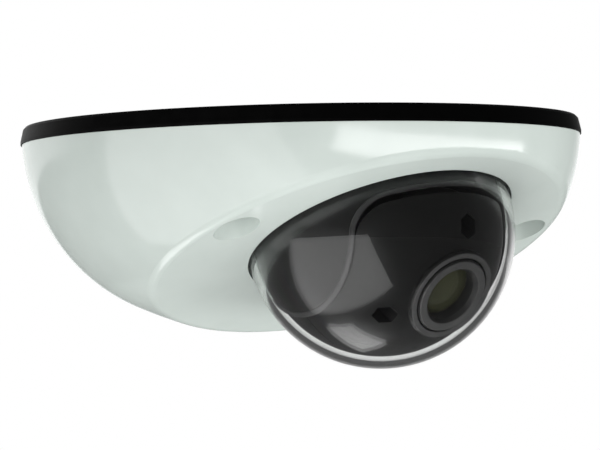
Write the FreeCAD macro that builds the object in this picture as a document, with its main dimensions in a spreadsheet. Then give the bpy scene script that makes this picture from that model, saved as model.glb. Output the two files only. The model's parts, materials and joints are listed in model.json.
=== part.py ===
"""Ceiling dome camera: a steel cover over a three-axis lens turret behind a clear bubble.

Room frame: +Z up, the origin at the middle of the ceiling face, the body hangs below z = 0 and the
lens looks towards -Y.  Two tilted frames share one centre, the middle of the bubble:
  dome frame  Z' square to the slanted face of the cover (the pan axis), Y' up the slope to the front
  lens frame  Z'' along the lens axis at rest
"""
import FreeCAD, Part
import os
import re
import Sketcher

Vector = FreeCAD.Vector
Rotation = FreeCAD.Rotation

# Driving dimensions, in millimetres and degrees.
DIMENSIONS = {
    # mounting base
    "base_radius": 54.6, "base_edge_radius": 55.15, "base_height": 3.45, "base_plate": 2.0,
    "base_recess_radius": 51.5, "ceiling_hole_radius": 2.3, "ceiling_hole_circle": 46.0,
    "back_seal_inner": 50.2, "back_seal_outer": 52.8, "back_seal_depth": 1.0,
    "rim_seal_inner": 52.9, "rim_seal_outer": 54.2, "rim_seal_depth": 1.0,
    # top cover
    "cover_radius": 54.96, "equator_height": -1.3, "side_radius": 37.61, "crown_radius": 78.91,
    "cover_wall": 2.5, "face_rounding": 2.75, "face_turn": 155.88, "face_set_back": 0.15,
    "well_x": 35.3, "well_y": -25.4, "well_radius": 4.35, "well_wall": 1.25, "well_floor_low": -13.5,
    "well_floor_high": -12.0, "cover_screw_radius": 1.95, "cover_screw_hole": 2.0,
    "hook_width": 8.0, "hook_front": 48.6, "hook_back": 50.2, "hook_lip": 51.4, "hook_low": -7.8,
    "hook_lip_high": -6.3, "rib_front": 50.7, "rib_back": 54.0, "rib_low": -6.0, "rib_high": -4.4,
    # bubble
    "bubble_y": -24.15, "bubble_z": -22.84, "bubble_outer": 25.85, "bubble_inner": 24.45,
    "window_hole": 26.3, "flange_radius": 29.0, "flange_low": -4.75, "flange_thickness": 1.5,
    "gasket_thickness": 0.6, "lug_radius": 3.1,
    "clamp_inner": 27.0, "clamp_outer": 29.4, "clamp_thickness": 1.5, "clamp_screw_at": 22.4,
    "clamp_post_radius": 2.2,
    # pan stage
    "pan_radius": 24.1, "pan_bore": 21.6, "pan_rim_high": 1.1, "pan_wall_low": -6.4,
    "pan_flange_radius": 27.0, "pan_flange_low": -7.4, "pan_tube_radius": 24.3, "pan_tube_low": -9.7,
    "ear_face": 19.2, "ear_rounding": 5.5, "ball_clearance": 23.85,
    "lock_inner": 21.9, "lock_outer": 25.6, "lock_low": -10.5, "pan_screw_circle": 23.1,
    "seat_inner": 24.6, "seat_outer": 29.0, "seat_low": -9.4, "seat_high": -7.7, "seat_lip": 27.4,
    "seat_lip_high": -6.6, "rear_leg_x": 29.1, "rear_leg_y": -11.0, "front_leg_y": -47.0,
    "leg_radius": 3.0, "front_leg_radius": 2.6,
    # tilt stage
    "ball_radius": 23.5, "ball_inner": 21.7, "ball_side": 18.1, "ball_side_wall": 1.5,
    "ball_front_edge": 3.1, "ball_rounding": 4.6, "front_shell_end": -25.0, "rear_shell_start": -25.4,
    "rear_shell_end": -62.0, "side_disc_radius": 13.5, "tilt_pin_radius": 2.0, "tilt_bore": 2.06,
    "tilt_pin_inner": 16.8, "tilt_pin_outer": 21.8, "washer_outer": 5.0,
    "frame_low": 10.0, "frame_high": 12.0, "frame_radius": 15.8, "boss_circle": 12.9,
    "boss_outer": 2.9, "boss_floor": 13.5, "hex_corner": 2.05,
    "lens_opening": 7.8, "lens_boss": 9.15, "lens_boss_face": 8.9, "lens_boss_low": 18.5,
    "lens_boss_edge": 22.25, "lens_boss_high": 22.5,
    # lens, its holder and the sensor
    "lens_turn": 122.38, "lens_aside": 4.93, "barrel_radius": 6.0, "barrel_bore": 6.05,
    "barrel_low": 4.0, "barrel_flange": 7.5, "barrel_flange_low": 20.4, "barrel_high": 22.9,
    "front_glass_radius": 5.25,
    "front_glass_low": 18.0, "front_glass_high": 21.5, "front_glass_curve": 11.9,
    "inner_glass_radius": 4.4, "holder_radius": 7.6, "roll_bore": 7.68, "holder_high": 13.4,
    "holder_shoulder": 9.0, "holder_base": 2.0, "holder_square": 20.0, "sensor_cavity": 12.0,
    "sensor_board_thickness": 1.2,
    # electronics
    "board_x": 33.0, "board_front": 2.0, "board_rear": 27.0, "board_low": -6.7, "board_high": -5.5,
    "standoff_x": 29.5, "standoff_front": 5.5, "standoff_rear": 23.5, "standoff_radius": 2.6,
    "jack_x_low": 3.0, "jack_x_high": 19.0, "jack_front": 5.5, "jack_rear": 27.2, "jack_low": -20.0,
    "grommet_x": -14.0, "grommet_y": 38.0, "grommet_hole": 6.0, "cable_radius": 3.0,
    "grommet_flange": 8.0,
}

doc = FreeCAD.newDocument("DomeCamera")
sheet = doc.addObject("Spreadsheet::Sheet", "Dimensions")
for row, (alias, amount) in enumerate(DIMENSIONS.items(), start=1):
    sheet.set(f"A{row}", alias)
    sheet.set(f"B{row}", str(amount))
    sheet.setAlias(f"B{row}", alias)
doc.recompute()

NODES = []


def size(alias):
    """The present value of one dimension."""
    return float(getattr(sheet, alias))


def linked(text):
    """An expression with each dimension's name pointed at the sheet."""
    return re.sub(r"[a-z]+(_[a-z]+)+", lambda found: "Dimensions." + found.group(0), str(text))


def bind(item, **sizes):
    """Drive properties of an object from the sheet; a double underscore stands for a dot."""
    for name, text in sizes.items():
        item.setExpression(name.replace("__", "."), linked(text))
    return item


# --- frames ---------------------------------------------------------------------------------------

def free_to_place(item):
    """A primitive keeps its own offsets, so it is wrapped before it is placed in a frame."""
    if item.TypeId in ("Part::Box", "Part::Cylinder", "Part::Prism", "Part::Sphere"):
        return group([item])
    return item


def in_dome(item):
    """Place an object in the dome frame, at the bubble's centre and turned about X."""
    item = free_to_place(item)
    item.Placement = FreeCAD.Placement(Vector(0, 1, 1), Rotation(Vector(1, 0, 0), 1))
    bind(item, Placement__Base__y="bubble_y", Placement__Base__z="bubble_z")
    return bind(item, Placement__Rotation__Angle="face_turn")


def to_dome(item):
    """Turn an object of the lens frame into the dome frame: tilted, then turned a little aside."""
    item = free_to_place(item)
    item.Placement = FreeCAD.Placement(Vector(), Rotation(Vector(1, 0, 0), 1))
    bind(item, Placement__Rotation__Angle="lens_turn - face_turn")
    aside = group([item])
    aside.Placement = FreeCAD.Placement(Vector(), Rotation(Vector(0, 0, -1), 1))
    return bind(aside, Placement__Rotation__Angle="lens_aside")


def in_lens(item):
    return in_dome(group([to_dome(item)]))


# --- simple forms ---------------------------------------------------------------------------------

AXIS_TURNS = {
    "X": Rotation(Vector(0, 1, 0), 90),
    "Y": Rotation(Vector(1, 0, 0), -90),
    "Z": Rotation(),
    "Z, corner on Y": Rotation(Vector(0, 0, 1), 30),
}


def cylinder(radius, low, high, x="0", y="0", axis="Z", sides=None):
    """A cylinder, or a prism with a number of sides, along one axis; x and y are its offsets."""
    if sides:
        form = doc.addObject("Part::Prism", "Prism")
        form.Polygon = sides
        bind(form, Circumradius=radius)
    else:
        form = doc.addObject("Part::Cylinder", "Cylinder")
        bind(form, Radius=radius)
    bind(form, Height=f"({high}) - ({low})")
    form.Placement.Rotation = AXIS_TURNS[axis]
    places = {"X": (low, x, y), "Y": (x, low, y)}.get(axis, (x, y, low))
    bind(form, Placement__Base__x=places[0], Placement__Base__y=places[1])
    return bind(form, Placement__Base__z=places[2])


def box(x_low, x_high, y_low, y_high, z_low, z_high):
    form = doc.addObject("Part::Box", "Box")
    bind(form, Length=f"({x_high}) - ({x_low})", Width=f"({y_high}) - ({y_low})")
    bind(form, Height=f"({z_high}) - ({z_low})", Placement__Base__x=x_low)
    return bind(form, Placement__Base__y=y_low, Placement__Base__z=z_low)


def slab(half_width, y_low, y_high, z_low, z_high):
    """A box that is even about X = 0."""
    return box(f"-({half_width})", half_width, y_low, y_high, z_low, z_high)


def sphere(radius, z="0", upper_half=False):
    form = doc.addObject("Part::Sphere", "Sphere")
    if upper_half:
        form.Angle1 = 0
    return bind(form, Radius=radius, Placement__Base__z=z)


def tilt_sector(radius, half_width, start, end):
    """A wedge about X between two tilt angles, measured from Z' towards Y'; start is the higher."""
    form = doc.addObject("Part::Cylinder", "Sector")
    turn = Rotation(Vector(1, 0, 0), 180 - start)
    form.Placement.Rotation = turn.multiply(AXIS_TURNS["X"])
    form.Angle = start - end
    return bind(form, Radius=radius, Height=f"2 * ({half_width})", Placement__Base__x=f"-({half_width})")


def fuse(*forms):
    whole = doc.addObject("Part::MultiFuse", "Fusion")
    whole.Shapes = list(forms)
    whole.Refine = True
    return whole


def common(first, second):
    shared = doc.addObject("Part::MultiCommon", "Common")
    shared.Shapes = [first, second]
    return shared


def cut(base, *tools):
    rest = doc.addObject("Part::Cut", "Cut")
    rest.Base = base
    rest.Tool = fuse(*tools) if len(tools) > 1 else tools[0]
    return rest


def group(forms):
    """Like pieces that are kept in one node as separate solids."""
    together = doc.addObject("Part::Compound", "Group")
    together.Links = forms
    return together


def tube(outer, inner, low, high, x="0", y="0", axis="Z"):
    bore = cylinder(inner, f"({low}) - 1", f"({high}) + 1", x, y, axis)
    return cut(cylinder(outer, low, high, x, y, axis), bore)


def turned(outline):
    """A PartDesign body turned about Z from corners of (radius, height)."""
    body = doc.addObject("PartDesign::Body", "Turned")
    sketch = body.newObject("Sketcher::SketchObject", "Profile")
    plane = [part for part in body.Origin.OriginFeatures if part.Role == "XZ_Plane"][0]
    sketch.AttachmentSupport = [(plane, "")]
    sketch.MapMode = "FlatFace"
    count = len(outline)
    for corner in range(count):
        start = Vector(20 + corner, corner * corner, 0)
        follower = (corner + 1) % count
        sketch.addGeometry(Part.LineSegment(start, Vector(20 + follower, follower * follower, 0)))
    for corner, (radius, height) in enumerate(outline):
        follower = (corner + 1) % count
        sketch.addConstraint(Sketcher.Constraint("Coincident", corner, 2, follower, 1))
        for kind, text in (("DistanceX", radius), ("DistanceY", height)):
            spot = sketch.addConstraint(Sketcher.Constraint(kind, -1, 1, corner, 1, 1.0))
            sketch.setExpression(f"Constraints[{spot}]", linked(text))
    turn = body.newObject("PartDesign::Revolution", "Turn")
    turn.Profile = sketch
    turn.ReferenceAxis = (sketch, ["V_Axis"])
    turn.Angle = 360
    return body


def ring(outer, inner, low, high):
    return turned([(inner, low), (outer, low), (outer, high), (inner, high)])


def padded(corners, low, high):
    """A PartDesign body padded along Z from corners of (x, y)."""
    body = doc.addObject("PartDesign::Body", "Padded")
    sketch = body.newObject("Sketcher::SketchObject", "Profile")
    plane = [part for part in body.Origin.OriginFeatures if part.Role == "XY_Plane"][0]
    sketch.AttachmentSupport = [(plane, "")]
    sketch.MapMode = "FlatFace"
    bind(sketch, AttachmentOffset__Base__z=low)
    count = len(corners)
    for corner in range(count):
        start = Vector(20 + corner, corner * corner, 0)
        follower = (corner + 1) % count
        sketch.addGeometry(Part.LineSegment(start, Vector(20 + follower, follower * follower, 0)))
    for corner, place in enumerate(corners):
        follower = (corner + 1) % count
        sketch.addConstraint(Sketcher.Constraint("Coincident", corner, 2, follower, 1))
        for kind, text in zip(("DistanceX", "DistanceY"), place):
            spot = sketch.addConstraint(Sketcher.Constraint(kind, -1, 1, corner, 1, 1.0))
            sketch.setExpression(f"Constraints[{spot}]", linked(text))
    pad = body.newObject("PartDesign::Pad", "Pad")
    pad.Profile = sketch
    bind(pad, Length=f"({high}) - ({low})")
    return body


def screw(head_radius, head_low, head_high, shank_radius, shank_end, x, y):
    """A cap screw; the shank runs from the head's seat at head_high to shank_end."""
    head = cylinder(head_radius, head_low, head_high, x, y)
    shank = cylinder(shank_radius, head_high, shank_end, x, y)
    socket = cylinder(f"{head_radius} * 0.5", f"{head_low} - 1", f"({head_low} + {head_high}) / 2", x, y,
                      sides=6)
    return cut(fuse(head, shank), socket)


def node(label, form, frame=None):
    """Keep a finished sub-part under the name of its file."""
    if frame:
        form = frame(form)
    form.Label = label
    NODES.append(form)


# --- mounting base --------------------------------------------------------------------------------

LEGS = (("rear_leg_x", "rear_leg_y"), ("-rear_leg_x", "rear_leg_y"), ("0", "front_leg_y"))
STANDOFFS = [(f"{side} * standoff_x", along) for along in ("standoff_front", "standoff_rear")
             for side in (-1, 1)]
WELLS = (("well_x", "well_y"), ("-well_x", "well_y"))
CORNERS = ((1, 1), (-1, 1), (-1, -1), (1, -1))
HALF_TURN = 0.70710678
PAN_SCREWS = ((0.9063, 0.4226), (-0.9063, 0.4226), (-0.9063, -0.4226), (0.9063, -0.4226))


def make_mounting_base():
    disc = turned([("0", "-base_height"), ("base_edge_radius", "-base_height"),
                   ("base_edge_radius", "-base_height + 0.6"), ("base_radius", "-0.5"),
                   ("base_radius - 0.5", "0"), ("0", "0")])
    recess = cylinder("base_recess_radius", "-base_height - 1", "-base_plate")
    bosses = [cylinder("well_radius - 0.35", "well_floor_high", "-base_plate + 0.5", x, y)
              for x, y in WELLS]
    posts = [cylinder("standoff_radius", "board_high", "-base_plate + 0.5", x, y)
             for x, y in STANDOFFS]
    stem = slab("hook_width / 2", "hook_front", "hook_back", "hook_low", "-base_plate + 0.5")
    lip = slab("hook_width / 2", "hook_back - 0.4", "hook_lip", "hook_low", "hook_lip_high")
    body = fuse(cut(disc, recess), *bosses, *posts, stem, lip)
    tools = [cylinder("ceiling_hole_radius", "-base_plate - 1", "1",
                      f"{x * HALF_TURN} * ceiling_hole_circle", f"{y * HALF_TURN} * ceiling_hole_circle")
             for x, y in CORNERS]
    tools += [cylinder("cover_screw_hole", "well_floor_high - 1", "-4.2", x, y) for x, y in WELLS]
    tools += [cylinder("1.25", "board_high - 1", "-base_plate - 0.6", x, y) for x, y in STANDOFFS]
    tools += [cylinder("1.25", "-base_plate - 1", "1", x, y) for x, y in LEGS]
    tools += [cylinder("2.6", "-1.0", "1", x, y) for x, y in LEGS]
    tools += [cylinder("grommet_hole", "-base_plate - 1", "1", "grommet_x", "grommet_y")]
    tools += [tube("back_seal_outer", "back_seal_inner", "-back_seal_depth", "1"),
              tube("rim_seal_outer", "rim_seal_inner", "-base_height - 1",
                   "-base_height + rim_seal_depth")]
    node("mounting_base", cut(body, *tools))


def make_base_trim():
    node("ceiling_seal", ring("back_seal_outer", "back_seal_inner", "-back_seal_depth", "0"))
    node("cover_seal", ring("rim_seal_outer", "rim_seal_inner", "-base_height",
                            "-base_height + rim_seal_depth"))
    grommet = turned([("cable_radius", "-6"), ("4.2", "-6"), ("5.2", "-base_plate - 1.4"),
                      ("grommet_flange", "-base_plate - 1.4"), ("grommet_flange", "-base_plate"),
                      ("grommet_hole", "-base_plate"), ("grommet_hole", "-0.3"),
                      ("grommet_hole - 0.3", "0"), ("cable_radius", "0")])
    bind(grommet, Placement__Base__x="grommet_x", Placement__Base__y="grommet_y")
    node("cable_grommet", grommet)


# --- cover ----------------------------------------------------------------------------------------

def cover_form(inset, top):
    """The cover's round body: a side arc and a crown arc, turned about Z and cut by the face."""
    body = doc.addObject("PartDesign::Body", "CoverForm")
    sketch = body.newObject("Sketcher::SketchObject", "Profile")
    plane = [part for part in body.Origin.OriginFeatures if part.Role == "XZ_Plane"][0]
    sketch.AttachmentSupport = [(plane, "")]
    sketch.MapMode = "FlatFace"
    side, crown = size("side_radius"), size("crown_radius")
    reach = size("cover_radius") - side
    side_middle = Vector(reach, size("equator_height"), 0)
    rise = ((crown - side) ** 2 - reach ** 2) ** 0.5
    crown_middle = Vector(0, side_middle.y + rise, 0)
    junction = side_middle + (side_middle - crown_middle).normalize() * side
    lowest = crown_middle - Vector(0, crown, 0)
    drop = -size("base_height") - side_middle.y
    edge = side_middle + Vector((side ** 2 - drop ** 2) ** 0.5, drop, 0)
    middle_of_crown = crown_middle + (junction + lowest - crown_middle * 2).normalize() * crown
    middle_of_side = side_middle + (junction + edge - side_middle * 2).normalize() * side
    sketch.addGeometry(Part.ArcOfCircle(lowest, middle_of_crown, junction))
    sketch.addGeometry(Part.ArcOfCircle(junction, middle_of_side, edge))
    sketch.addGeometry(Part.LineSegment(edge, Vector(0, edge.y, 0)))
    sketch.addGeometry(Part.LineSegment(Vector(0, edge.y, 0), lowest))
    for pair in ((1, 2, 2, 1), (2, 2, 3, 1), (3, 2, 0, 1)):
        sketch.addConstraint(Sketcher.Constraint("Coincident", *pair))
    sketch.addConstraint(Sketcher.Constraint("PointOnObject", 0, 3, -2))
    sketch.addConstraint(Sketcher.Constraint("PointOnObject", 2, 2, -2))
    sketch.addConstraint(Sketcher.Constraint("PointOnObject", 3, 2, -2))
    sketch.addConstraint(Sketcher.Constraint("Horizontal", 2))
    sketch.addConstraint(Sketcher.Constraint("Tangent", 0, 2, 1, 1))
    sizes = [(Sketcher.Constraint("Radius", 1, side - inset), f"side_radius - {inset}"),
             (Sketcher.Constraint("Radius", 0, crown - inset), f"crown_radius - {inset}"),
             (Sketcher.Constraint("DistanceX", -1, 1, 1, 3, reach), "cover_radius - side_radius"),
             (Sketcher.Constraint("DistanceY", -1, 1, 1, 3, side_middle.y), "equator_height"),
             (Sketcher.Constraint("DistanceY", -1, 1, 3, 1, edge.y), top)]
    for rule, text in sizes:
        spot = sketch.addConstraint(rule)
        sketch.setExpression(f"Constraints[{spot}]", linked(text))
    turn = body.newObject("PartDesign::Revolution", "Turn")
    turn.Profile = sketch
    turn.ReferenceAxis = (sketch, ["V_Axis"])
    turn.Angle = 360
    behind_face = in_dome(slab("100", "-100", "100", "-100", f"-face_set_back - {inset}"))
    return common(body, behind_face)


def rounded_face(form):
    """Round the rim of the slanted face, the longest edge that lies all in its plane."""
    doc.recompute()
    outward = Rotation(Vector(1, 0, 0), size("face_turn")).multVec(Vector(0, 0, 1))
    middle = Vector(0, size("bubble_y"), size("bubble_z"))
    rim = []
    for count, edge in enumerate(form.Shape.Edges, start=1):
        spots = [(spot - middle).dot(outward) + size("face_set_back") for spot in edge.discretize(5)]
        if max(abs(spot) for spot in spots) < 0.01:
            rim.append(count)
    rounding = doc.addObject("Part::Fillet", "Rounding")
    rounding.Base = form
    rounding.Edges = [(count, size("face_rounding"), size("face_rounding")) for count in rim]
    return rounding


def make_cover():
    outer = rounded_face(cover_form(0, "-base_height"))
    wells = [cylinder("well_radius + well_wall", "-34", "well_floor_high", x, y) for x, y in WELLS]
    rib = slab("hook_width / 2 + 1", "rib_front", "rib_back", "rib_low", "rib_high")
    posts = [in_dome(cylinder("clamp_post_radius", "flange_low", "-1.5", f"{x} * clamp_screw_at",
                              f"{y} * clamp_screw_at")) for x, y in CORNERS]
    inner = cover_form(size("cover_wall"), "-base_height + 2")
    shell = cut(outer, inner)
    inside = common(fuse(*wells, rib, *posts), outer)
    tools = [in_dome(cylinder("window_hole", "-4", "5"))]
    tools += [cylinder("well_radius", "-40", "well_floor_low", x, y) for x, y in WELLS]
    tools += [cylinder("2.2", "-40", "well_floor_high + 1", x, y) for x, y in WELLS]
    tools += [in_dome(cylinder("0.9", "-6", "-3.2", f"{x} * clamp_screw_at",
                               f"{y} * clamp_screw_at")) for x, y in CORNERS]
    node("top_cover", cut(fuse(shell, inside), *tools))
    node("cover_screws", group([screw("3.2", "well_floor_low - 2.6", "well_floor_low",
                                      "cover_screw_radius", "-4.6", x, y) for x, y in WELLS]))


def make_window():
    outside = fuse(sphere("bubble_outer", upper_half=True),
                   cylinder("bubble_outer", "flange_low", "0"),
                   cylinder("flange_radius", "flange_low", "flange_low + flange_thickness"))
    inside = fuse(sphere("bubble_inner", upper_half=True), cylinder("bubble_inner", "-6", "0"))
    node("dome_window", cut(outside, inside), in_dome)
    node("dome_gasket", ring("flange_radius", "bubble_outer + 0.15", "flange_low + flange_thickness",
                             "flange_low + flange_thickness + gasket_thickness"), in_dome)
    lugs = [cylinder("lug_radius", "flange_low - clamp_thickness", "flange_low", f"{x} * clamp_screw_at",
                     f"{y} * clamp_screw_at") for x, y in CORNERS]
    band = fuse(cylinder("clamp_outer", "flange_low - clamp_thickness", "flange_low"), *lugs)
    holes = [cylinder("1.1", "-8", "-4", f"{x} * clamp_screw_at", f"{y} * clamp_screw_at")
             for x, y in CORNERS]
    node("dome_clamp", cut(band, cylinder("clamp_inner", "-8", "-4"), *holes), in_dome)
    screws = [screw("1.7", "flange_low - clamp_thickness - 1.2", "flange_low - clamp_thickness",
                    "0.85", "-3.3", f"{x} * clamp_screw_at", f"{y} * clamp_screw_at")
              for x, y in CORNERS]
    node("dome_clamp_screws", group(screws), in_dome)


# --- pan stage ------------------------------------------------------------------------------------

def make_turret_seat():
    """The slanted fixed ring on three legs, which the pan ring turns in."""
    floor = in_dome(cylinder("seat_outer", "seat_low", "seat_high"))
    lip = in_dome(cylinder("seat_outer", "seat_high - 0.5", "seat_lip_high"))
    below = in_dome(slab("60", "-60", "60", "-60", "seat_high"))
    legs = [cylinder("leg_radius", "-40", "-base_plate", x, y) for x, y in LEGS[:2]]
    legs.append(cylinder("front_leg_radius", "-8", "-base_plate", *LEGS[2]))
    solid = fuse(floor, lip, common(fuse(*legs), below))
    tools = [in_dome(cylinder("seat_inner", "-20", "0")), in_dome(cylinder("seat_lip", "seat_high", "0"))]
    tools += [cylinder("1.25", "-9.5", "0", x, y) for x, y in LEGS[:2]]
    tools.append(cylinder("1.25", "-3.2", "0", *LEGS[2]))
    node("turret_seat", cut(solid, *tools))
    screws = [screw_from_above("2.5", "1.2", "-9", x, y) for x, y in LEGS[:2]]
    screws.append(screw_from_above("2.5", "1.2", "-3.1", *LEGS[2]))
    node("seat_screws", group(screws))


def screw_from_above(head_radius, shank_radius, shank_end, x, y):
    """A flat screw let into the ceiling face of the base."""
    head = cylinder(head_radius, "-1.0", "-0.1", x, y)
    shank = cylinder(shank_radius, shank_end, "-1.0", x, y)
    return cut(fuse(head, shank), cylinder("1.1", "-0.6", "1", x, y, sides=6))


def at_pan_screw(x, y):
    return f"{x} * pan_screw_circle", f"{y} * pan_screw_circle"


def make_pan_stage():
    hull = fuse(sphere("pan_radius", upper_half=True), cylinder("pan_radius", "pan_wall_low - 0.1", "0"),
                cylinder("pan_flange_radius", "pan_flange_low", "pan_wall_low"),
                cylinder("pan_tube_radius", "pan_tube_low", "pan_flange_low + 0.1"))
    corner_z = "pan_rim_high + ear_rounding"
    corner_x = "ear_face - ear_rounding"
    front = [slab("ear_face", "0", "30", corner_z, "30"),
             slab(corner_x, "0", "30", "pan_rim_high", "30"),
             cylinder("ear_rounding", "0", "30", corner_x, corner_z, axis="Y"),
             cylinder("ear_rounding", "0", "30", f"-({corner_x})", corner_z, axis="Y")]
    between = slab("ear_face", "-30", "30", "-12", "30")
    rear = slab("ear_face", "-30", "0.5", "-5.5", "30")
    behind = slab("ear_face", "-30", "0", "-12", "0")
    tools = front + [rear, common(sphere("pan_bore"), between),
                     common(sphere("ball_clearance"), behind),
                     cylinder("side_disc_radius + 0.4", "-ear_face", "ear_face", axis="X")]
    tools += [cylinder("tilt_pin_radius + 0.02", f"{low} * tilt_pin_outer",
                       f"{high} * tilt_pin_outer", axis="X") for low, high in ((-1, 0), (0, 1))]
    tools += [cylinder("0.85", "-12", "-6.8", *at_pan_screw(x, y)) for x, y in PAN_SCREWS]
    node("pan_ring", cut(hull, *tools), in_dome)
    holes = [cylinder("0.95", "-12", "-6", *at_pan_screw(x, y)) for x, y in PAN_SCREWS]
    band = ring("lock_outer", "lock_inner", "lock_low", "pan_tube_low")
    node("pan_lock_ring", cut(band, *holes), in_dome)
    screws = [screw("1.4", "lock_low - 0.9", "lock_low", "0.8", "-7.0", *at_pan_screw(x, y))
              for x, y in PAN_SCREWS]
    node("pan_screws", group(screws), in_dome)
    pins = [cylinder("tilt_pin_radius", "tilt_pin_inner", "tilt_pin_outer", axis="X"),
            cylinder("tilt_pin_radius", "-tilt_pin_outer", "-tilt_pin_inner", axis="X")]
    node("tilt_pins", group(pins), in_dome)
    washers = [tube("washer_outer", "tilt_pin_radius + 0.05", "ball_side + 0.1", "ear_face", axis="X"),
               tube("washer_outer", "tilt_pin_radius + 0.05", "-ear_face", "-ball_side - 0.1", axis="X")]
    node("tilt_washers", group(washers), in_dome)


# --- tilt stage -----------------------------------------------------------------------------------

SCREW_SPOTS = ((0.0, 1.0), (-0.8660254, -0.5), (0.8660254, -0.5))


def at_boss(x, y):
    return f"{x} * boss_circle", f"{y} * boss_circle"


def ball_strip(outer, inner, half_width, start, end):
    """A stretch of a hollow ball, cut at both sides and at two tilt angles."""
    wedge = tilt_sector("40", half_width, start, end)
    return cut(common(sphere(outer), wedge), sphere(inner))


def make_ball():
    shell = ball_strip("ball_radius", "ball_inner", "ball_side", 92, size("front_shell_end"))
    corner_z = "ball_front_edge + ball_rounding"
    corner_x = "ball_side - ball_rounding"
    outline = fuse(slab("ball_side", "-30", "30", corner_z, "30"),
                   slab(corner_x, "-30", "30", "ball_front_edge", "30"),
                   cylinder("ball_rounding", "-30", "30", corner_x, corner_z, axis="Y"),
                   cylinder("ball_rounding", "-30", "30", f"-({corner_x})", corner_z, axis="Y"))
    discs = [cylinder("side_disc_radius", "ball_side - ball_side_wall", "ball_side", axis="X"),
             cylinder("side_disc_radius", "-ball_side", "-ball_side + ball_side_wall", axis="X")]
    tongue = ball_strip("ball_inner - 0.05", "ball_inner - 1.2", "ball_side - 2.5",
                        size("front_shell_end") + 3, size("front_shell_end") - 8)
    root_of_tongue = ball_strip("ball_inner + 0.3", "ball_inner - 1.2", "ball_side - 2.5",
                                size("front_shell_end") + 4, size("front_shell_end"))
    rim = ring("lens_boss", "lens_opening", "lens_boss_low", "lens_boss_edge")
    rim_face = turned([("lens_opening", "lens_boss_edge - 0.2"), ("lens_boss", "lens_boss_edge - 0.2"),
                       ("lens_boss", "lens_boss_edge"), ("lens_boss_face", "lens_boss_high"),
                       ("lens_opening", "lens_boss_high")])
    bosses = [common(cylinder("boss_outer", "frame_high", "26", *at_boss(x, y)), sphere("ball_radius"))
              for x, y in SCREW_SPOTS]
    lens_parts = [to_dome(form) for form in (rim, rim_face, *bosses)]
    body = fuse(common(shell, outline), *discs, tongue, root_of_tongue, *lens_parts)
    tools = [to_dome(cylinder("lens_opening", "12.5", "30"))]
    tools += [to_dome(cylinder("hex_corner", "boss_floor", "30", *at_boss(x, y),
                               axis="Z, corner on Y", sides=6)) for x, y in SCREW_SPOTS]
    tools += [to_dome(cylinder("1.1", "frame_low", "26", *at_boss(x, y))) for x, y in SCREW_SPOTS]
    tools += [cylinder("tilt_bore", "-ball_side - 1", "ball_side + 1", axis="X")]
    node("ball_front", cut(body, *tools), in_dome)
    back = ball_strip("ball_radius", "ball_inner", "ball_side", size("rear_shell_start"),
                      size("rear_shell_end"))
    node("ball_rear", cut(back, cylinder("side_disc_radius + 0.1", "-ball_side - 1", "ball_side + 1",
                                         axis="X")), in_dome)
    plate = ring("frame_radius", "roll_bore", "frame_low", "frame_high")
    pilots = [cylinder("1.05", "frame_low - 1", "frame_high + 1", *at_boss(x, y))
              for x, y in SCREW_SPOTS]
    node("ball_frame", cut(plate, *pilots), in_lens)
    shanks = [cylinder("1.0", "frame_low", "boss_floor", *at_boss(x, y)) for x, y in SCREW_SPOTS]
    heads = [cylinder("1.7", "boss_floor", "boss_floor + 1.3", *at_boss(x, y)) for x, y in SCREW_SPOTS]
    sockets = [cylinder("0.9", "boss_floor + 0.5", "boss_floor + 2", *at_boss(x, y), sides=6)
               for x, y in SCREW_SPOTS]
    screws = [cut(fuse(shank, head), socket) for shank, head, socket in zip(shanks, heads, sockets)]
    node("ball_screws", group(screws), in_lens)


# --- lens and sensor ------------------------------------------------------------------------------

def make_lens_holder():
    sleeve = fuse(cylinder("holder_radius", "1", "holder_high"),
                  cylinder("holder_shoulder", "frame_low - 1.7", "frame_low - 0.2"),
                  slab("holder_square / 2", "-holder_square / 2", "holder_square / 2", "0",
                       "holder_base"))
    tools = [slab("sensor_cavity / 2", "-sensor_cavity / 2", "sensor_cavity / 2", "-1", "holder_base"),
             cylinder("5.0", "1", "6"), cylinder("barrel_bore", "3.0", "20")]
    tools += [cylinder("0.85", "-1", "1.6", x, y) for x, y in (("8", "8"), ("-8", "-8"))]
    node("lens_holder", cut(sleeve, *tools), in_lens)
    node("roll_clip", ring("holder_shoulder + 0.2", "holder_radius", "frame_high + 0.2",
                           "frame_high + 1.2"), in_lens)
    node("filter_glass", cylinder("6.0", "3.0", "3.5"), in_lens)
    half = "holder_square / 2"
    board = padded([(f"-{half}", f"-{half}"), (half, f"-{half}"), (half, half), (f"-{half}", half)],
                   "-sensor_board_thickness", "0")
    holes = [cylinder("0.95", "-3", "1", x, y) for x, y in (("8", "8"), ("-8", "-8"))]
    node("sensor_board", cut(board, *holes), in_lens)
    node("image_sensor", box("-4", "4", "-3.4", "3.4", "0", "1.2"), in_lens)
    screws = [screw("1.4", "-sensor_board_thickness - 1.1", "-sensor_board_thickness", "0.8", "1.4",
                    x, y) for x, y in (("8", "8"), ("-8", "-8"))]
    node("sensor_screws", group(screws), in_lens)


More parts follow.
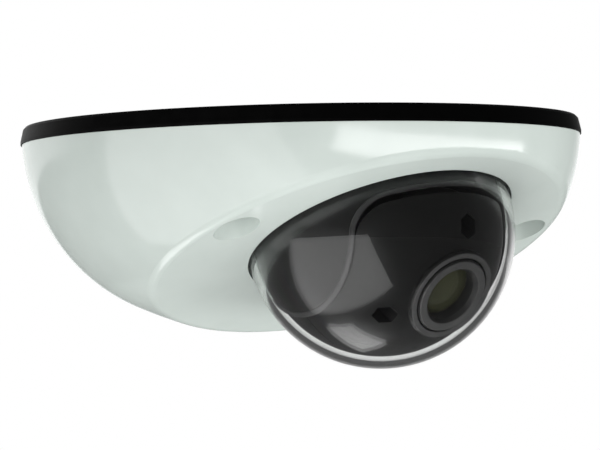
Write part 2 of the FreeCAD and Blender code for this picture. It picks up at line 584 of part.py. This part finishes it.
def make_lens():
    barrel = turned([("inner_glass_radius", "barrel_low"), ("barrel_radius", "barrel_low"),
                     ("barrel_radius", "barrel_flange_low"), ("barrel_flange", "barrel_flange_low"),
                     ("barrel_flange", "barrel_high - 0.3"), ("barrel_flange - 0.3", "barrel_high"),
                     ("front_glass_radius + 0.5", "barrel_high"),
                     ("front_glass_radius", "barrel_high - 0.7"),
                     ("front_glass_radius", "front_glass_low"),
                     ("inner_glass_radius", "front_glass_low")])
    node("lens_barrel", barrel, in_lens)
    cap = common(cylinder("front_glass_radius", "front_glass_low", "front_glass_high + 1"),
                 sphere("front_glass_curve", "front_glass_high - front_glass_curve"))
    node("front_lens", cap, in_lens)
    node("middle_lens", cylinder("inner_glass_radius", "12", "14.5"), in_lens)
    node("rear_lens", cylinder("inner_glass_radius", "5.5", "8"), in_lens)


# --- electronics ----------------------------------------------------------------------------------

def make_boards():
    board = padded([("-board_x", "board_front"), ("board_x", "board_front"), ("board_x", "board_rear"),
                    ("-board_x", "board_rear")], "board_low", "board_high")
    holes = [cylinder("1.35", "board_low - 1", "board_high + 1", x, y) for x, y in STANDOFFS]
    node("main_board", cut(board, *holes))
    node("board_screws", group([screw("2.2", "board_low - 1.3", "board_low", "1.2", "-3.2", x, y)
                                for x, y in STANDOFFS]))
    node("processor", box("-16", "-4", "8", "20", "board_high", "board_high + 1.1"))
    node("thermal_pad", box("-15", "-5", "9", "19", "board_high + 1.1", "-base_plate"))
    node("memory_chips", group([box("-27", "-19", y, f"{y} + 7", "board_low - 1", "board_low")
                                for y in ("5", "13.5")]))
    node("ribbon_socket", box("-13", "1", "3", "6.4", "board_low - 2", "board_low"))
    node("status_light", box("-26.2", "-24.6", "24", "25.2", "board_low - 0.8", "board_low"))
    shell = box("jack_x_low", "jack_x_high", "jack_front", "jack_rear", "jack_low", "board_low")
    mouth = box("jack_x_low + 2.1", "jack_x_high - 2.1", "jack_rear - 15", "jack_rear + 1",
                "jack_low + 4", "jack_low + 10.9")
    latch = box("jack_x_low + 5", "jack_x_high - 5", "jack_rear - 15", "jack_rear + 1",
                "jack_low + 1.4", "jack_low + 5")
    node("network_jack", cut(shell, mouth, latch))
    block = box("20", "26", "17", "27", "-15", "board_low")
    wires = [cylinder("1.1", "20", "28", x, "-11.5", axis="Y") for x in ("21.6", "24.4")]
    node("power_terminal", cut(block, *wires))
    slot = box("-13", "1", "14.5", "27", "board_low - 2", "board_low")
    node("card_slot", cut(slot, box("-11.6", "-0.4", "16", "28", "board_low - 1.5", "board_low - 0.6")))
    node("memory_card", box("-11.5", "-0.5", "16.2", "30.2", "board_low - 1.4", "board_low - 0.7"))
    housing = box("-22", "-17.4", "21.5", "26.1", "board_low - 2", "board_low")
    well = cylinder("1.5", "board_low - 3", "board_low - 0.4", "-19.7", "23.8")
    node("switch_body", cut(housing, well))
    node("reset_button", cylinder("1.2", "board_low - 3.4", "board_low - 0.9", "-19.7", "23.8"))


make_mounting_base()
make_base_trim()
make_cover()
make_window()
make_turret_seat()
make_pan_stage()
make_ball()
make_lens_holder()
make_lens()
make_boards()
doc.recompute()

for item in doc.Objects:
    if "Invalid" in item.State or "Error" in item.State:
        raise RuntimeError(f"{item.Label} failed: {item.State}")
for sub_part in NODES:
    if sub_part.Shape.isNull() or not sub_part.Shape.isValid():
        raise RuntimeError(f"{sub_part.Label} has no valid shape")

os.makedirs("parts", exist_ok=True)
for sub_part in NODES:
    solids = sub_part.Shape.Solids
    whole = solids[0] if len(solids) == 1 else Part.makeCompound(solids)
    whole.exportStep(f"parts/{sub_part.Label}.step")
    print(f"{sub_part.Label}: {len(sub_part.Shape.Solids)} solids, {sub_part.Shape.Volume:.1f} mm3")
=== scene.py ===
"""Looks of the ceiling dome camera: a painted cover, a clear bubble and a black lens turret."""
import json
import math

import bmesh
import bpy
from mathutils import Matrix, Vector


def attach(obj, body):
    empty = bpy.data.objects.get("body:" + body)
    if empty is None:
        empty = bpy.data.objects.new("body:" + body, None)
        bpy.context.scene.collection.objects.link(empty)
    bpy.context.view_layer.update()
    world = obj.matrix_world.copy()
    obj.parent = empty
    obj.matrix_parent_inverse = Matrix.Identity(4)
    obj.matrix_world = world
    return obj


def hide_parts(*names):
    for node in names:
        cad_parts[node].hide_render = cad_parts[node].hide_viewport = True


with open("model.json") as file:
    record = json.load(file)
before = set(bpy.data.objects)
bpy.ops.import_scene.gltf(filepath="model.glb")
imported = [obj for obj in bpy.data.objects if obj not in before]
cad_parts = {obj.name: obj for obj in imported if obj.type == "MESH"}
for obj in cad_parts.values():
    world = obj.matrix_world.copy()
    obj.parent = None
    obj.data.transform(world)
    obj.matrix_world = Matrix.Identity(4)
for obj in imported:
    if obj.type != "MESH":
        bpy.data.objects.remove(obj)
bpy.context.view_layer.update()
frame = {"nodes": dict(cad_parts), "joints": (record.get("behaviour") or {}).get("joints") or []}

MM = 0.001

# The white that is seen, and the dim room with its pale backdrop that surfaces reflect.
BACKGROUND = (1.0, 1.0, 1.0, 1)
AMBIENT = (0.075, 0.076, 0.076, 1)
BACKDROP = (1.0, 1.0, 1.0, 1)
BACKDROP_WAY = (165, -15)
BACKDROP_EDGE = (0.55, 0.85)

# The slanted face of the cover, and the bubble's centre in metres.
FACE_SLOPE = math.radians(24.12)
BUBBLE_MIDDLE = Vector((0.0, -24.15, -22.84)) * MM

# The bubble and the front edge of the pan ring, in millimetres about the bubble's centre.
BUBBLE_OUTER, BUBBLE_INNER = 25.85, 24.45
FLANGE_RADIUS, FLANGE_LOW, FLANGE_HIGH = 29.0, -4.75, -3.25
PAN_RADIUS, RIM_HIGH = 24.1, 1.1
EAR_FACE, EAR_ROUNDING = 19.2, 5.5
EAR_END = math.radians(150)
EAR_STEPS, CORNER_STEPS, RIM_STEPS = 40, 20, 20
EDGE_WIDTH, EDGE_HEIGHT, EDGE_SIDES = 1.1, 0.15, 12
RING_CHAMFER = 0.08

# How finely the turned pieces are divided, and the angle from which their edges stay sharp.
BUBBLE_STEPS, QUARTER_STEPS, RING_STEPS = 160, 48, 120
SHARP_FROM = math.radians(30)

FLOOR_RADIUS, FLOOR_LEVEL, FLOOR_SIDES = 30.0, -2.6, 96
FILL_SPREAD = math.radians(110)

# azimuth, elevation and strength of the soft lights on the pale cover
COVER_FILL = ((-85, -20, 0.25), (0, -15, 0.6), (60, -10, 1.7), (180, -30, 0.4), (-30, -80, 1.25))

CAMERA_LENS = 213.53
CAMERA_AZIMUTH, CAMERA_ELEVATION, CAMERA_ROLL = -37.852, -1.823, -1.27
CAMERA_DISTANCE = 700.86 * MM
CAMERA_AROUND = Vector((0, 0, -25 * MM))
CAMERA_LEFT, CAMERA_UP = 0.665 * MM, 4.923 * MM
CLIP_START, CLIP_END = 0.05, 60.0

# Texture scale of a tint against its grain, and the part of the noise that a ramp spreads.
TINT_SCALE = 0.25
RAMP_START, RAMP_END = 0.3, 0.7
BRUSHED = (1, 1, 12)


# --- materials ------------------------------------------------------------------------------------

class Nodes:
    """Short ways to build one material's node tree around its Principled shader."""

    def __init__(self, name):
        self.material = bpy.data.materials.new(name)
        self.material.use_nodes = True
        self.tree = self.material.node_tree
        self.shader = self.tree.nodes["Principled BSDF"]

    def set(self, **sockets):
        for name, value in sockets.items():
            self.shader.inputs[name.replace("_", " ")].default_value = value
        return self

    def add(self, kind, **values):
        node = self.tree.nodes.new(kind)
        for name, value in values.items():
            if name in node.inputs:
                node.inputs[name].default_value = value
            else:
                setattr(node, name, value)
        return node

    def link(self, source, target):
        self.tree.links.new(source, target)

    def noise(self, scale, detail=4.0, stretch=None):
        """Noise in object space, in features per metre, perhaps stretched."""
        place = self.add("ShaderNodeTexCoord").outputs["Object"]
        if stretch:
            mapping = self.add("ShaderNodeMapping")
            mapping.inputs["Scale"].default_value = stretch
            self.link(place, mapping.inputs["Vector"])
            place = mapping.outputs["Vector"]
        noise = self.add("ShaderNodeTexNoise", Scale=scale, Detail=detail)
        self.link(place, noise.inputs["Vector"])
        return noise.outputs["Fac"]

    def ramp(self, source, low, high):
        """Spread a 0 to 1 source over two colours."""
        ramp = self.add("ShaderNodeValToRGB")
        first, last = ramp.color_ramp.elements
        first.position, first.color = RAMP_START, low
        last.position, last.color = RAMP_END, high
        self.link(source, ramp.inputs["Fac"])
        return ramp.outputs["Color"]

    def spread(self, source, low, high):
        """Spread a 0 to 1 source over two numbers."""
        spread = self.add("ShaderNodeMapRange")
        spread.inputs["To Min"].default_value = low
        spread.inputs["To Max"].default_value = high
        self.link(source, spread.inputs["Value"])
        return spread.outputs["Result"]

    def bump(self, source, height):
        bump = self.add("ShaderNodeBump", Strength=1.0, Distance=height)
        self.link(source, bump.inputs["Height"])
        self.link(bump.outputs["Normal"], self.shader.inputs["Normal"])


def gray(level):
    return (level, level, level, 1.0)


def surface(name, low, high, rough, scale=900.0, bump=0.00002, grain=None, **sockets):
    """A material whose colour, roughness and grain vary a little, at the scale of its own texture."""
    nodes = Nodes(name)
    tone = nodes.noise(scale * TINT_SCALE, detail=3.0)
    nodes.link(nodes.ramp(tone, low, high), nodes.shader.inputs["Base Color"])
    nodes.link(nodes.spread(tone, rough[0], rough[1]), nodes.shader.inputs["Roughness"])
    if bump:
        nodes.bump(nodes.noise(scale, detail=2.0, stretch=grain), bump)
    return nodes.set(**sockets).material


def clear_plastic():
    """Clear polycarbonate with barely any haze."""
    nodes = Nodes("clear_polycarbonate")
    nodes.link(nodes.ramp(nodes.noise(60.0), (0.985, 0.99, 0.985, 1), (1, 1, 1, 1)),
               nodes.shader.inputs["Base Color"])
    return nodes.set(Roughness=0.0, IOR=1.3, Transmission_Weight=1.0).material


def lens_glass():
    """Coated glass, dark olive against the black barrel."""
    nodes = Nodes("coated_lens_glass")
    nodes.link(nodes.ramp(nodes.noise(300.0), (0.10, 0.105, 0.055, 1), (0.13, 0.135, 0.07, 1)),
               nodes.shader.inputs["Base Color"])
    return nodes.set(Roughness=0.02, IOR=1.6, Transmission_Weight=0.85).material


def metal(name, low, high, rough):
    return surface(name, low, high, rough, scale=2500.0, bump=0.000004, grain=BRUSHED, Metallic=1.0)


PAINT = surface("pale_paint", (0.56, 0.62, 0.585, 1), (0.585, 0.645, 0.61, 1), (0.10, 0.16),
                scale=450.0, bump=0.000006)
BLACK_PAINT = surface("black_paint", gray(0.0025), gray(0.004), (0.38, 0.5), scale=1500.0, bump=0.00001,
                      Specular_IOR_Level=0.04)
CLEAR = clear_plastic()
LENS_GLASS = lens_glass()
TURRET_PLASTIC = surface("turret_plastic", gray(0.003), gray(0.0045), (0.3, 0.36), scale=1500.0,
                         bump=0.000001, Specular_IOR_Level=0.35)
# Black turret plastic painted pale grey: a painted highlight on the front faces round the lens.
PAINTED_HIGHLIGHT_PLASTIC = surface("face_painted_highlight", gray(0.08), gray(0.095), (0.34, 0.4), scale=1500.0,
                       bump=0.000001)
# Black turret plastic painted a paler grey: a painted highlight along the rounded window edge.
EDGE_HIGHLIGHT_PLASTIC = surface("edge_painted_highlight", gray(0.025), gray(0.032), (0.3, 0.36), scale=1500.0,
                       bump=0.000001)
INNER_PLASTIC = surface("inner_plastic", gray(0.02), gray(0.035), (0.45, 0.6), scale=4000.0)
RUBBER = surface("seal_rubber", gray(0.012), gray(0.022), (0.65, 0.8), scale=3000.0)
STEEL = metal("screw_steel", gray(0.45), gray(0.6), (0.25, 0.38))
SHELL_METAL = metal("plated_shell", gray(0.5), gray(0.62), (0.2, 0.35))
ANODISED = surface("anodised_black", gray(0.008), gray(0.012), (0.34, 0.42), scale=2500.0, bump=0.000001,
                   Specular_IOR_Level=0.3)
NYLON = surface("washer_nylon", (0.6, 0.59, 0.53, 1), (0.68, 0.67, 0.6, 1), (0.4, 0.5))
BOARD = surface("board_green", (0.012, 0.09, 0.035, 1), (0.018, 0.12, 0.05, 1), (0.3, 0.45))
CHIP = surface("chip_plastic", gray(0.02), gray(0.03), (0.5, 0.65), scale=6000.0)
THERMAL = surface("thermal_pad", (0.16, 0.22, 0.3, 1), (0.2, 0.27, 0.36, 1), (0.7, 0.85))
SENSOR = surface("sensor_window", (0.02, 0.03, 0.05, 1), (0.04, 0.05, 0.09, 1), (0.08, 0.12))
TERMINAL = surface("terminal_green", (0.02, 0.17, 0.06, 1), (0.03, 0.22, 0.08, 1), (0.4, 0.5))
LIGHT_LENS = surface("light_lens", (0.4, 0.7, 0.3, 1), (0.5, 0.8, 0.4, 1), (0.1, 0.2))
BUTTON = surface("button_plastic", (0.45, 0.05, 0.03, 1), (0.55, 0.07, 0.04, 1), (0.35, 0.45))
FILTER = surface("filter_glass", (0.5, 0.2, 0.2, 1), (0.6, 0.25, 0.25, 1), (0.02, 0.05), bump=0,
                 Transmission_Weight=1.0)

CARRIED_OVER = {
    "top_cover": PAINT, "mounting_base": BLACK_PAINT, "dome_window": CLEAR,
    "ceiling_seal": RUBBER, "cover_seal": RUBBER, "dome_gasket": RUBBER, "cable_grommet": RUBBER,
    "cover_screws": STEEL, "dome_clamp_screws": STEEL, "seat_screws": STEEL, "board_screws": STEEL,
    "pan_screws": STEEL, "tilt_pins": STEEL, "ball_screws": STEEL, "sensor_screws": STEEL,
    "pan_ring": TURRET_PLASTIC, "ball_front": TURRET_PLASTIC, "ball_rear": TURRET_PLASTIC,
    "dome_clamp": INNER_PLASTIC, "turret_seat": INNER_PLASTIC, "pan_lock_ring": INNER_PLASTIC,
    "ball_frame": INNER_PLASTIC, "lens_holder": INNER_PLASTIC, "roll_clip": INNER_PLASTIC,
    "switch_body": INNER_PLASTIC, "card_slot": INNER_PLASTIC, "ribbon_socket": INNER_PLASTIC,
    "tilt_washers": NYLON, "main_board": BOARD, "sensor_board": BOARD, "processor": CHIP,
    "memory_chips": CHIP, "memory_card": CHIP, "thermal_pad": THERMAL, "image_sensor": SENSOR,
    "filter_glass": FILTER, "front_lens": LENS_GLASS, "middle_lens": LENS_GLASS,
    "rear_lens": LENS_GLASS, "lens_barrel": ANODISED, "network_jack": SHELL_METAL,
    "power_terminal": TERMINAL, "status_light": LIGHT_LENS, "reset_button": BUTTON,
}

for name, material in CARRIED_OVER.items():
    mesh = frame["nodes"][name].data
    mesh.materials.clear()
    mesh.materials.append(material)


# --- the bubble, the ear edge and the lens rings ----------------------------------------------------

# At rest: Z runs out of the slanted face in the one, and along the lens in the other.
IN_DOME = Matrix.Translation(BUBBLE_MIDDLE) @ Matrix.Rotation(math.pi - FACE_SLOPE, 4, "X")
LENS_AXIS = Vector(next(joint["axis"] for joint in frame["joints"] if joint["name"] == "image_roll"))
IN_LENS = Matrix.Translation(BUBBLE_MIDDLE) @ LENS_AXIS.to_track_quat("Z", "Y").to_matrix().to_4x4()

# name, body, slot, inner and outer radius, low and high end along the lens axis, material
LENS_RINGS = (
    # The two face rings carry a painted highlight: pale grey where the black plastic would catch the
    # light.
    ("collar_face", "tilt", "black_plastic", 7.84, 8.86, 22.40, 22.58, PAINTED_HIGHLIGHT_PLASTIC),
    ("barrel_face", "focus", "barrel_black", 5.8, 7.3, 22.80, 22.97, PAINTED_HIGHLIGHT_PLASTIC),
    # These two steel rings hold nothing. They stand in for the glints reflected off the lens elements.
    ("outer_glint_ring", "focus", "steel", 3.45, 3.7, 16.9, 17.15, STEEL),
    ("inner_glint_ring", "focus", "steel", 1.85, 2.1, 14.7, 14.95, STEEL),
)


def as_piece(name, mesh, material, sharp_from=None):
    """Turn a bmesh into a smooth object with one material."""
    bmesh.ops.recalc_face_normals(mesh, faces=mesh.faces)
    data = bpy.data.meshes.new(name)
    mesh.to_mesh(data)
    mesh.free()
    data.shade_smooth()
    if sharp_from:
        data.set_sharp_from_angle(angle=sharp_from)
    data.materials.append(material)
    piece = bpy.data.objects.new(name, data)
    bpy.context.scene.collection.objects.link(piece)
    return piece


def lathe(name, profile, place, steps, material):
    """A closed turned mesh: the (radius, height) loop in mm goes round Z and then into its place."""
    mesh = bmesh.new()
    rings = []
    for radius, height in profile:
        turns = steps if radius > 0 else 1
        angles = [2 * math.pi * step / steps for step in range(turns)]
        points = [Vector((radius * math.cos(angle), radius * math.sin(angle), height)) for angle in angles]
        rings.append([mesh.verts.new(place @ (point * MM)) for point in points])
    for low, high in zip(rings, rings[1:] + rings[:1]):
        if len(low) == 1 and len(high) == 1:
            continue
        for step in range(steps):
            after = (step + 1) % steps
            corners = [low[step % len(low)], low[after % len(low)],
                       high[after % len(high)], high[step % len(high)]]
            mesh.faces.new(list(dict.fromkeys(corners)))
    return as_piece(name, mesh, material, SHARP_FROM)


def quarter(radius):
    """Points of a quarter circle from the equator up to the pole."""
    angles = [math.pi / 2 * step / QUARTER_STEPS for step in range(QUARTER_STEPS)]
    return [(radius * math.cos(angle), radius * math.sin(angle)) for angle in angles] + [(0, radius)]


def make_bubble():
    """The clear bubble with its skirt and flange. It throws no shadow on the turret."""
    profile = [(BUBBLE_INNER, FLANGE_LOW), (FLANGE_RADIUS, FLANGE_LOW), (FLANGE_RADIUS, FLANGE_HIGH),
               (BUBBLE_OUTER, FLANGE_HIGH)]
    profile += quarter(BUBBLE_OUTER) + quarter(BUBBLE_INNER)[::-1]
    bubble = lathe("clear_bubble", profile, IN_DOME, BUBBLE_STEPS, CLEAR)
    bubble.visible_shadow = False
    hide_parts("dome_window")
    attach(bubble, "root")


def window_edge():
    """The pan ring's front edge in the dome frame, in mm: up one ear, along the low rim, up the other."""
    ear = (PAN_RADIUS ** 2 - EAR_FACE ** 2) ** 0.5
    low = math.asin((RIM_HIGH + EAR_ROUNDING) / ear)
    turns = [EAR_END * (1 - step / EAR_STEPS) + low * step / EAR_STEPS for step in range(EAR_STEPS)]
    right = [(EAR_FACE, ear * math.cos(turn), ear * math.sin(turn)) for turn in turns]
    flat = []
    for step in range(CORNER_STEPS + 1):
        turn = math.pi / 2 * step / CORNER_STEPS
        flat.append((EAR_FACE - EAR_ROUNDING * (1 - math.cos(turn)),
                     RIM_HIGH + EAR_ROUNDING * (1 - math.sin(turn))))
    middle = EAR_FACE - EAR_ROUNDING
    flat += [(middle - middle * step / RIM_STEPS, RIM_HIGH) for step in range(1, RIM_STEPS)]
    right += [(x, (PAN_RADIUS ** 2 - x ** 2 - z ** 2) ** 0.5, z) for x, z in flat]
    left = [(-x, y, z) for x, y, z in right[::-1]]
    front = (0.0, (PAN_RADIUS ** 2 - RIM_HIGH ** 2) ** 0.5, RIM_HIGH)
    return [Vector(point) for point in right + [front] + left]


def make_ear_edge():
    """A raised lip that runs along the edge of the pan ring's window, paler than the turret as a painted
    highlight on its rounded edge.
    """
    mesh = bmesh.new()
    path = window_edge()
    rings = []
    for number, point in enumerate(path):
        along = path[min(number + 1, len(path) - 1)] - path[max(number - 1, 0)]
        outward = point.normalized()
        aside = outward.cross(along).normalized()
        ring = []
        for step in range(EDGE_SIDES):
            turn = 2 * math.pi * step / EDGE_SIDES
            across = aside * EDGE_WIDTH * (0.5 + 0.5 * math.cos(turn))
            raised = outward * EDGE_HEIGHT * math.sin(turn)
            ring.append(mesh.verts.new(IN_DOME @ ((point + across + raised) * MM)))
        rings.append(ring)
    for low, high in zip(rings, rings[1:]):
        for step in range(EDGE_SIDES):
            after = (step + 1) % EDGE_SIDES
            mesh.faces.new([low[step], low[after], high[after], high[step]])
    mesh.faces.new(rings[0][::-1])
    mesh.faces.new(rings[-1])
    piece = as_piece("ear_edge", mesh, EDGE_HIGHLIGHT_PLASTIC)
    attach(piece, "pan")


def make_lens_rings():
    """The front faces round the lens, painted pale as a painted highlight, and two polished rings inside
    it that stand in for glints reflected off the lens elements.
    """
    for name, body, slot, inner, outer, low, high, material in LENS_RINGS:
        edge = min(RING_CHAMFER, (outer - inner) / 4)
        profile = [(inner, low), (outer, low), (outer, high - edge), (outer - edge, high),
                   (inner + edge, high), (inner, high - edge)]
        ring = lathe(name, profile, IN_LENS, RING_STEPS, material)
        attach(ring, body)


# --- stage, light and camera ----------------------------------------------------------------------

def direction(azimuth, elevation):
    """A unit vector; azimuth is from -Y towards +X and elevation above the horizon, in degrees."""
    around, up = math.radians(azimuth), math.radians(elevation)
    return Vector((math.sin(around) * math.cos(up), -math.cos(around) * math.cos(up), math.sin(up)))


def seen_directly(tree):
    """1 on the straight view and through clear plastic, 0 on light that any surface has bounced."""
    path = tree.nodes.new("ShaderNodeLightPath")
    bounces = tree.nodes.new("ShaderNodeMath")
    bounces.operation = "ADD"
    tree.links.new(path.outputs["Diffuse Depth"], bounces.inputs[0])
    tree.links.new(path.outputs["Glossy Depth"], bounces.inputs[1])
    direct = tree.nodes.new("ShaderNodeMath")
    direct.operation = "LESS_THAN"
    direct.inputs[1].default_value = 0.5
    tree.links.new(bounces.outputs[0], direct.inputs[0])
    return direct.outputs[0]


def make_floor():
    """A pale floor well below, bright where it is looked at, which lets the low lights through."""
    bpy.ops.mesh.primitive_circle_add(vertices=FLOOR_SIDES, radius=FLOOR_RADIUS, fill_type="NGON",
                                      location=(0, 0, FLOOR_LEVEL))
    floor = bpy.context.object
    floor.visible_shadow = False
    floor.name = "floor"
    nodes = Nodes("floor_paint")
    nodes.link(nodes.ramp(nodes.noise(2.0), gray(0.70), gray(0.72)), nodes.shader.inputs["Base Color"])
    nodes.set(Roughness=0.9)
    bright = nodes.add("ShaderNodeEmission", Color=BACKGROUND)
    mix = nodes.add("ShaderNodeMixShader")
    nodes.link(seen_directly(nodes.tree), mix.inputs[0])
    nodes.link(nodes.shader.outputs[0], mix.inputs[1])
    nodes.link(bright.outputs[0], mix.inputs[2])
    nodes.link(mix.outputs[0], nodes.tree.nodes["Material Output"].inputs["Surface"])
    floor.data.materials.append(nodes.material)


def softbox(name, azimuth, elevation, distance, width, height, radiance):
    """A rectangular light that faces the object, in metres."""
    light = bpy.data.lights.new(name, "AREA")
    light.shape = "RECTANGLE"
    light.size, light.size_y = width, height
    light.energy = radiance * width * height * math.pi
    lamp = bpy.data.objects.new(name, light)
    bpy.context.scene.collection.objects.link(lamp)
    place = direction(azimuth, elevation) * distance
    lamp.location = place
    lamp.rotation_euler = (-place).to_track_quat("-Z", "Y").to_euler()
    return lamp


def fill_light(name, azimuth, elevation, strength):
    """A very soft light that shows no shape of its own in gloss."""
    light = bpy.data.lights.new(name, "SUN")
    light.angle = FILL_SPREAD
    light.energy = strength
    lamp = bpy.data.objects.new(name, light)
    bpy.context.scene.collection.objects.link(lamp)
    lamp.rotation_euler = (-direction(azimuth, elevation)).to_track_quat("-Z", "Y").to_euler()
    lamp.visible_glossy = False
    return lamp


def backdrop(tree):
    """The dim room as surfaces see it, with a pale backdrop behind and below the object."""
    way = tree.nodes.new("ShaderNodeTexCoord")
    facing = tree.nodes.new("ShaderNodeVectorMath")
    facing.operation = "DOT_PRODUCT"
    facing.inputs[1].default_value = direction(*BACKDROP_WAY)
    tree.links.new(way.outputs["Generated"], facing.inputs[0])
    edge = tree.nodes.new("ShaderNodeMapRange")
    edge.interpolation_type = "SMOOTHSTEP"
    edge.inputs["From Min"].default_value, edge.inputs["From Max"].default_value = BACKDROP_EDGE
    tree.links.new(facing.outputs["Value"], edge.inputs["Value"])
    mix = tree.nodes.new("ShaderNodeMix")
    mix.data_type = "RGBA"
    mix.inputs["A"].default_value = AMBIENT
    mix.inputs["B"].default_value = BACKDROP
    tree.links.new(edge.outputs["Result"], mix.inputs["Factor"])
    return mix.outputs["Result"]


def make_light():
    """The room, two softboxes, and a bright band and soft fill that light the cover only."""
    world = bpy.data.worlds.new("pale_room")
    bpy.context.scene.world = world
    world.use_nodes = True
    mix = world.node_tree.nodes.new("ShaderNodeMix")
    mix.data_type = "RGBA"
    world.node_tree.links.new(backdrop(world.node_tree), mix.inputs["A"])
    mix.inputs["B"].default_value = BACKGROUND
    world.node_tree.links.new(seen_directly(world.node_tree), mix.inputs["Factor"])
    world.node_tree.links.new(mix.outputs["Result"], world.node_tree.nodes["Background"].inputs["Color"])
    softbox("left_softbox", azimuth=-85, elevation=-34, distance=1.6, width=2.7, height=1.9, radiance=1.7)
    softbox("under_softbox", azimuth=180, elevation=-68, distance=1.4, width=0.7, height=0.5, radiance=2.4)
    cover_lights = [softbox("front_band", azimuth=21, elevation=-17, distance=2.4, width=4.6, height=0.7,
                            radiance=6.0)]
    for number, (azimuth, elevation, strength) in enumerate(COVER_FILL):
        cover_lights.append(fill_light(f"cover_fill_{number}", azimuth, elevation, strength))
    shell = bpy.data.collections.new("cover_only")
    bpy.context.scene.collection.children.link(shell)
    shell.objects.link(frame["nodes"]["top_cover"])
    for lamp in cover_lights:
        lamp.light_linking.receiver_collection = shell


def make_camera():
    """The camera looks a little to the left of and above the point that it turns about."""
    camera_data = bpy.data.cameras.new("camera")
    camera_data.lens = CAMERA_LENS
    camera_data.clip_start = CLIP_START
    camera_data.clip_end = CLIP_END
    camera = bpy.data.objects.new("camera", camera_data)
    bpy.context.scene.collection.objects.link(camera)
    back = direction(CAMERA_AZIMUTH, CAMERA_ELEVATION)
    around, roll = math.radians(CAMERA_AZIMUTH), math.radians(CAMERA_ROLL)
    right = Vector((math.cos(around), math.sin(around), 0))
    up = back.cross(right)
    right, up = right * math.cos(roll) + up * math.sin(roll), up * math.cos(roll) - right * math.sin(roll)
    eye = CAMERA_AROUND + back * CAMERA_DISTANCE
    target = CAMERA_AROUND - right * CAMERA_LEFT + up * CAMERA_UP
    back = (eye - target).normalized()
    right = up.cross(back).normalized()
    up = back.cross(right)
    camera.matrix_world = Matrix((
        (right.x, up.x, back.x, eye.x),
        (right.y, up.y, back.y, eye.y),
        (right.z, up.z, back.z, eye.z),
        (0, 0, 0, 1)))
    bpy.context.scene.camera = camera


make_bubble()
make_ear_edge()
make_lens_rings()
make_floor()
make_light()
make_camera()
bpy.context.scene.view_settings.view_transform = "Standard"
